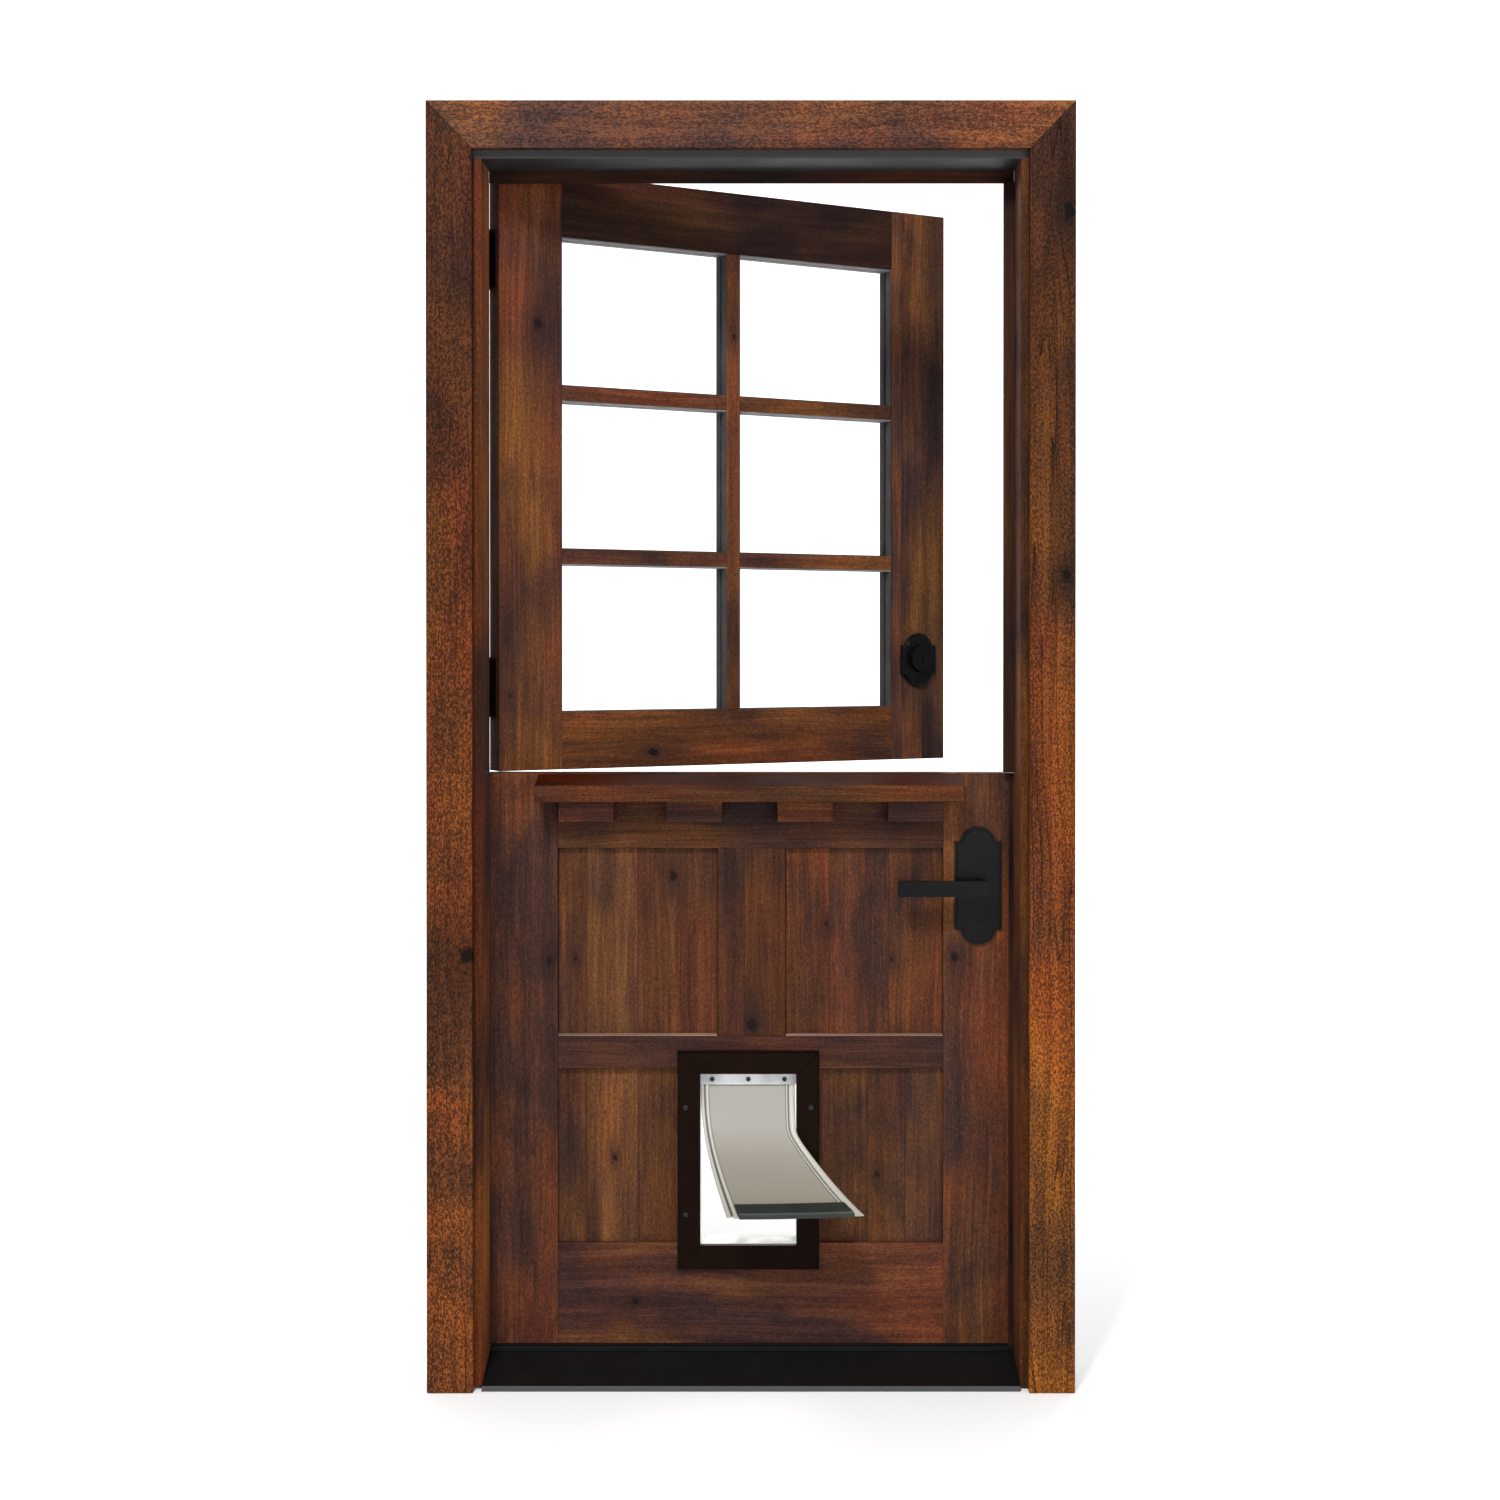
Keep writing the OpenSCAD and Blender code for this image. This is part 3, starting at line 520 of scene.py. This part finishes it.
def sheet(name, nu, nv, u0, u1, v0, v1, thick, prof=None):
    bm = bmesh.new()
    grid = {}
    for side in (0, 1):
        for i in range(nu + 1):
            for k in range(nv + 1):
                u = u0 + (u1 - u0) * i / nu
                v = v0 + (v1 - v0) * k / nv
                extra = prof(u, v) if prof else 0.0
                off = (extra + thick / 2) if side == 0 else -thick / 2
                grid[side, i, k] = bm.verts.new(flap_point(u, v, off))
    for i in range(nu):
        for k in range(nv):
            bm.faces.new([grid[0, i, k], grid[0, i + 1, k], grid[0, i + 1, k + 1], grid[0, i, k + 1]])
            bm.faces.new([grid[1, i, k], grid[1, i, k + 1], grid[1, i + 1, k + 1], grid[1, i + 1, k]])
    for i in range(nu):
        for k in (0, nv):
            f = [grid[0, i, k], grid[1, i, k], grid[1, i + 1, k], grid[0, i + 1, k]]
            bm.faces.new(f if k == 0 else f[::-1])
    for k in range(nv):
        for i in (0, nu):
            f = [grid[0, i, k], grid[0, i, k + 1], grid[1, i, k + 1], grid[1, i, k]]
            bm.faces.new(f if i == 0 else f[::-1])
    bmesh.ops.recalc_face_normals(bm, faces=bm.faces)
    me = bpy.data.meshes.new(name)
    bm.to_mesh(me)
    bm.free()
    for p in me.polygons:
        p.use_smooth = True
    o = bpy.data.objects.new(name, me)
    bpy.context.scene.collection.objects.link(o)
    m = o.modifiers.new("edge", "EDGE_SPLIT")
    m.split_angle = math.radians(50)
    return o


def vinyl(name, stops, gloss=0.42):
    mat = bpy.data.materials.new(name)
    g = G(mat)
    tc = g.n("ShaderNodeTexCoord")
    p = tc.outputs["Object"]
    sep = g.n("ShaderNodeSeparateXYZ")
    g.link(p, sep.inputs[0])
    h = g.maprange(sep.outputs[2], FP.z - 0.19, FP.z, 0.0, 1.0)
    n = g.noise(p, 14.0, 4.0)
    base = g.ramp(g.math("ADD", g.math("MULTIPLY", h, 0.85), g.math("MULTIPLY", n, 0.15)), stops)
    g.link(base, g.b.inputs["Base Color"])
    g.link(g.maprange(n, 0.3, 0.7, gloss - 0.06, gloss + 0.06), g.b.inputs["Roughness"])
    f = g.noise(p, 500.0, 2.0)
    g.link(g.bump(g.math("ADD", g.math("MULTIPLY", n, 1.2), g.math("MULTIPLY", f, 0.5)), 0.15, 0.0004), g.b.inputs["Normal"])
    g.b.inputs["Specular IOR Level"].default_value = 0.22
    return mat


def hang(o):
    """Bakes a flap piece's placement into its mesh."""
    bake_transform(o)


def crown(u0, u1, h):
    def prof(u, v):
        t = (u - u0) / (u1 - u0) * 2 - 1
        return h * math.sqrt(max(0.0, 1 - t * t))
    return prof


body = sheet("flap_body_sheet", 60, 56, 0.03, 0.97, -0.015, 0.985, 0.0024)
body.data.materials.append(vinyl("flap_vinyl", [(0.0, (127, 121, 108)), (0.45, (130, 125, 115)), (1.0, (150, 146, 141))]))
hang(body)
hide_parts("flap")
ivory = vinyl("flap_rib_vinyl", [(0.0, (160, 157, 147)), (0.5, (172, 169, 160)), (1.0, (186, 183, 177))], 0.36)
for nm, u0, u1, v1 in (("left_outer", 0.0, 0.034, 0.992), ("left_inner", 0.050, 0.084, 1.0), ("right_inner", 0.902, 0.922, 0.985), ("right_outer", 0.934, 1.0, 1.0)):
    rib = sheet("flap_rib_" + nm, 8, 60, u0, u1, -0.012, v1, 0.0026, crown(u0, u1, 0.0026))
    rib.data.materials.append(ivory)
    hang(rib)


# dark sheets in the grooves between the ribs: painted shade
groove = vinyl("flap_groove_painted_shade", [(0.0, (70, 68, 62)), (0.5, (80, 78, 72)), (1.0, (96, 94, 88))], 0.5)
for nm, u0, u1 in (("left_outer", 0.0345, 0.0500), ("left_inner", 0.0845, 0.0890), ("right_inner", 0.8970, 0.9015), ("right_outer", 0.9225, 0.9335)):
    gv = sheet("flap_groove_" + nm, 2, 60, u0, u1, -0.010, 0.982, 0.0027)
    gv.data.materials.append(groove)
    hang(gv)


def lozenge(v):
    t = (v - 0.888) / (1.006 - 0.888) * 2 - 1
    return 0.0062 * max(0.0, 1 - abs(t) ** 7) ** 0.5


strip = sheet("flap_magnet_strip", 40, 24, 0.088, 0.930, 0.888, 1.006, 0.0036, lambda u, v: lozenge(v))
strip.data.materials.append(metal_black("magnet_strip", (38, 41, 38), 0.36, 0.0, spec=0.3))
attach(strip, "flap_body")
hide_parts("flap_magnet")

# ---- glazing spacers, one round each light ----
UX, UZ0, UZ1, BAR = 0.3397, 1.123, 1.949, 0.026
ROW = (UZ1 - UZ0 - 2 * BAR) / 3
bm = bmesh.new()
for i in range(3):
    for x0, x1 in ((-UX, -BAR / 2), (BAR / 2, UX)):
        z0 = UZ0 + i * (ROW + BAR)
        z1 = z0 + ROW
        for y0, y1 in ((0.1075, 0.1240), (0.1305, 0.1470)):
            ta, tb = 0.0024, 0.0016
            o4 = [(x0, z0), (x1, z0), (x1, z1), (x0, z1)]
            i4 = [(x0 + tb, z0 + tb), (x1 - ta, z0 + tb), (x1 - ta, z1 - ta), (x0 + tb, z1 - ta)]
            V = {}
            for tag, pts in (("o", o4), ("i", i4)):
                for k, (xx, zz) in enumerate(pts):
                    for m, yy in enumerate((y0, y1)):
                        V[tag, k, m] = bm.verts.new(leaf((xx, yy, zz)))
            for k in range(4):
                n2 = (k + 1) % 4
                # the faces along the top of each light take material 1, a lighter grey, and the sides material 0,
                # a darker grey: painted light and shade on one spacer grey
                for f, mi in (([V["i", k, 0], V["i", n2, 0], V["i", n2, 1], V["i", k, 1]], 1 if k == 2 else 0),
                              ([V["o", k, 0], V["o", k, 1], V["o", n2, 1], V["o", n2, 0]], 0),
                              ([V["o", k, 0], V["o", n2, 0], V["i", n2, 0], V["i", k, 0]], 1 if k == 2 else 0),
                              ([V["o", k, 1], V["i", k, 1], V["i", n2, 1], V["o", n2, 1]], 0)):
                    face = bm.faces.new(f)
                    face.material_index = mi
bmesh.ops.recalc_face_normals(bm, faces=bm.faces)
me = bpy.data.meshes.new("glazing_spacers")
bm.to_mesh(me)
bm.free()
sp = bpy.data.objects.new("glazing_spacers", me)
bpy.context.scene.collection.objects.link(sp)
# a darker and a lighter copy of one spacer grey: painted shade on the sides, painted light on the tops
me.materials.append(metal_black("spacer_painted_shade_grey", (58, 55, 55), 0.5, 0.0, spec=0.1))
me.materials.append(metal_black("spacer_painted_light_grey", (104, 102, 102), 0.5, 0.0, spec=0.1))
bv = sp.modifiers.new("ease", "BEVEL")
bv.width = 0.0003
bv.segments = 1
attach(sp, "upper_leaf")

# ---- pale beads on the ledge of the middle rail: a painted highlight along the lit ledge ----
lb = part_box("lower_rail_middle")
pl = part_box("panel_upper_left")
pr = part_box("panel_upper_right")
bm = bmesh.new()
for x0, x1 in ((pl[0][0] + 0.001, pl[1][0] - 0.001), (pr[0][0] + 0.001, pr[1][0] - 0.001)):
    zb = lb[1][2]
    prof2 = [(0.1053, zb), (0.1053, zb + 0.0011), (0.1058, zb + 0.0016), (0.1118, zb + 0.0030), (0.1148, zb + 0.0032), (0.1148, zb)]
    ends = []
    n = 12
    for k in range(n + 1):
        xx = x0 + (x1 - x0) * k / n
        ends.append([bm.verts.new((xx, yy, zz)) for yy, zz in prof2])
    for a, b in zip(ends, ends[1:]):
        for k in range(len(prof2)):
            m = (k + 1) % len(prof2)
            bm.faces.new([a[k], a[m], b[m], b[k]])
    bm.faces.new(ends[0][::-1])
    bm.faces.new(ends[-1])
bmesh.ops.recalc_face_normals(bm, faces=bm.faces)
me = bpy.data.meshes.new("ledge_painted_highlight")
bm.to_mesh(me)
bm.free()
bead = bpy.data.objects.new("ledge_painted_highlight", me)
bpy.context.scene.collection.objects.link(bead)
# the pale tone is a painted highlight
me.materials.append(wood("timber_painted_highlight", along="x", seed=95, tone=0.9, bright=1.22, tint=(1.0, 1.4, 2.1), speckle=0.3))
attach(bead, "lower_leaf")

# ---- studio ----
fl = bpy.data.meshes.new("floor")
bm = bmesh.new()
N = 24
prof = [(-7.0, 0.0)] + [(3.2, 0.0)]
R = 2.5
for i in range(1, N + 1):
    a = math.pi / 2 * i / N
    prof.append((3.2 + R * math.sin(a), R * (1 - math.cos(a))))
prof.append((3.2 + R, 9.0))
rows = []
for yy, zz in prof:
    rows.append([bm.verts.new((xx, yy, zz - 0.0005)) for xx in (-9, 9)])
for a, b in zip(rows, rows[1:]):
    bm.faces.new([a[0], a[1], b[1], b[0]])
bm.to_mesh(fl)
bm.free()
for pl in fl.polygons:
    pl.use_smooth = True
floor = bpy.data.objects.new("floor", fl)
bpy.context.scene.collection.objects.link(floor)
fm = bpy.data.materials.new("floor_pale")
g = G(fm)
g.b.inputs["Base Color"].default_value = (0.9, 0.9, 0.9, 1)
g.b.inputs["Roughness"].default_value = 0.8
g.b.inputs["Specular IOR Level"].default_value = 0.1
fl.materials.append(fm)

w = bpy.data.worlds.new("studio")
bpy.context.scene.world = w
w.use_nodes = True
bg = w.node_tree.nodes["Background"]
bg.inputs[0].default_value = (1, 1, 1, 1)
bg.inputs[1].default_value = 0.55


def area(name, loc, target, size, power, size_y=None):
    d = bpy.data.lights.new(name, "AREA")
    d.energy = power
    d.shape = "RECTANGLE"
    d.size = size
    d.size_y = size_y or size
    o = bpy.data.objects.new(name, d)
    bpy.context.scene.collection.objects.link(o)
    o.location = loc
    o.rotation_euler = (Vector(target) - Vector(loc)).to_track_quat("-Z", "Y").to_euler()
    return o


area("key", (-0.9, -3.4, 4.3), (0, 0, 1.1), 0.8, 230, 0.8)
area("floor_back", (0.5, 2.6, 3.4), (0.4, 1.3, 0.0), 3.0, 80, 2.0)
area("fill", (1.8, -4.2, 1.3), (0, 0, 1.0), 2.4, 70, 2.0)
area("back", (0.0, 3.0, 2.4), (0, 5.6, 2.2), 6.5, 150, 3.5)

cam = bpy.data.cameras.new("camera")
cam.sensor_width = 36.0
cam.sensor_fit = "HORIZONTAL"
F = 2189.46
cam.lens = 36.0 * F / 1500.0
cam.shift_x = -20.777 / 1500.0
cam.shift_y = -89.12 / 1500.0
co = bpy.data.objects.new("camera", cam)
bpy.context.scene.collection.objects.link(co)
co.location = (0.0329, -3.638766, 1.238298)
co.rotation_euler = (math.radians(90 - 0.394), 0, 0)
bpy.context.scene.camera = co
bpy.context.scene.view_settings.view_transform = "Standard"
